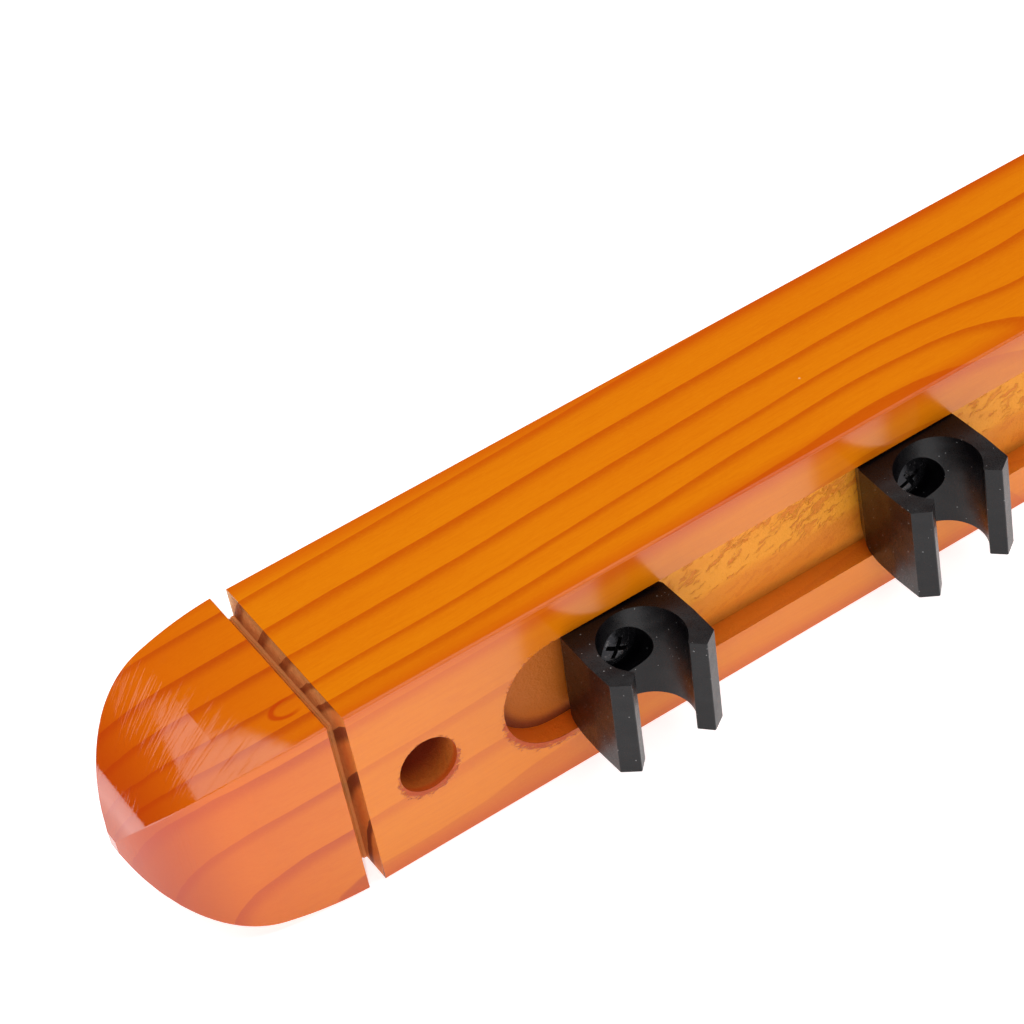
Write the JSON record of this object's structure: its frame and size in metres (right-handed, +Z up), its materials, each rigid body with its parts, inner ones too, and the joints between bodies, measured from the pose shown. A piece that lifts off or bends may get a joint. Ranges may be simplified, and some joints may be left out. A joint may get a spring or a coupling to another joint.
{
  "type": "wall cue rack",
  "caption": "Wall rail for billiard cues: a lacquered wooden bar with domed ends and a slot along its front that carries black spring clips, each held by a screw.",
  "frame": {"origin": "centre of the bar's flat back face, on the wall", "axes": "+X along the bar, +Y into the wall, -Y out into the room, +Z up"},
  "size_m": [0.5312, 0.0613, 0.043],
  "materials": {
    "lacquered_wood": "clear gloss lacquer over orange-brown stained softwood",
    "black_plastic": "satin moulded",
    "black_screw": "black phosphated steel"
  },
  "bodies": {
    "root": {"rail": "lacquered_wood", "clip_1": "black_plastic", "clip_2": "black_plastic", "clip_3": "black_plastic", "clip_4": "black_plastic", "clip_5": "black_plastic", "clip_6": "black_plastic", "clip_screw_1": "black_screw", "clip_screw_2": "black_screw", "clip_screw_3": "black_screw", "clip_screw_4": "black_screw", "clip_screw_5": "black_screw", "clip_screw_6": "black_screw"}
  },
  "joints": []
}
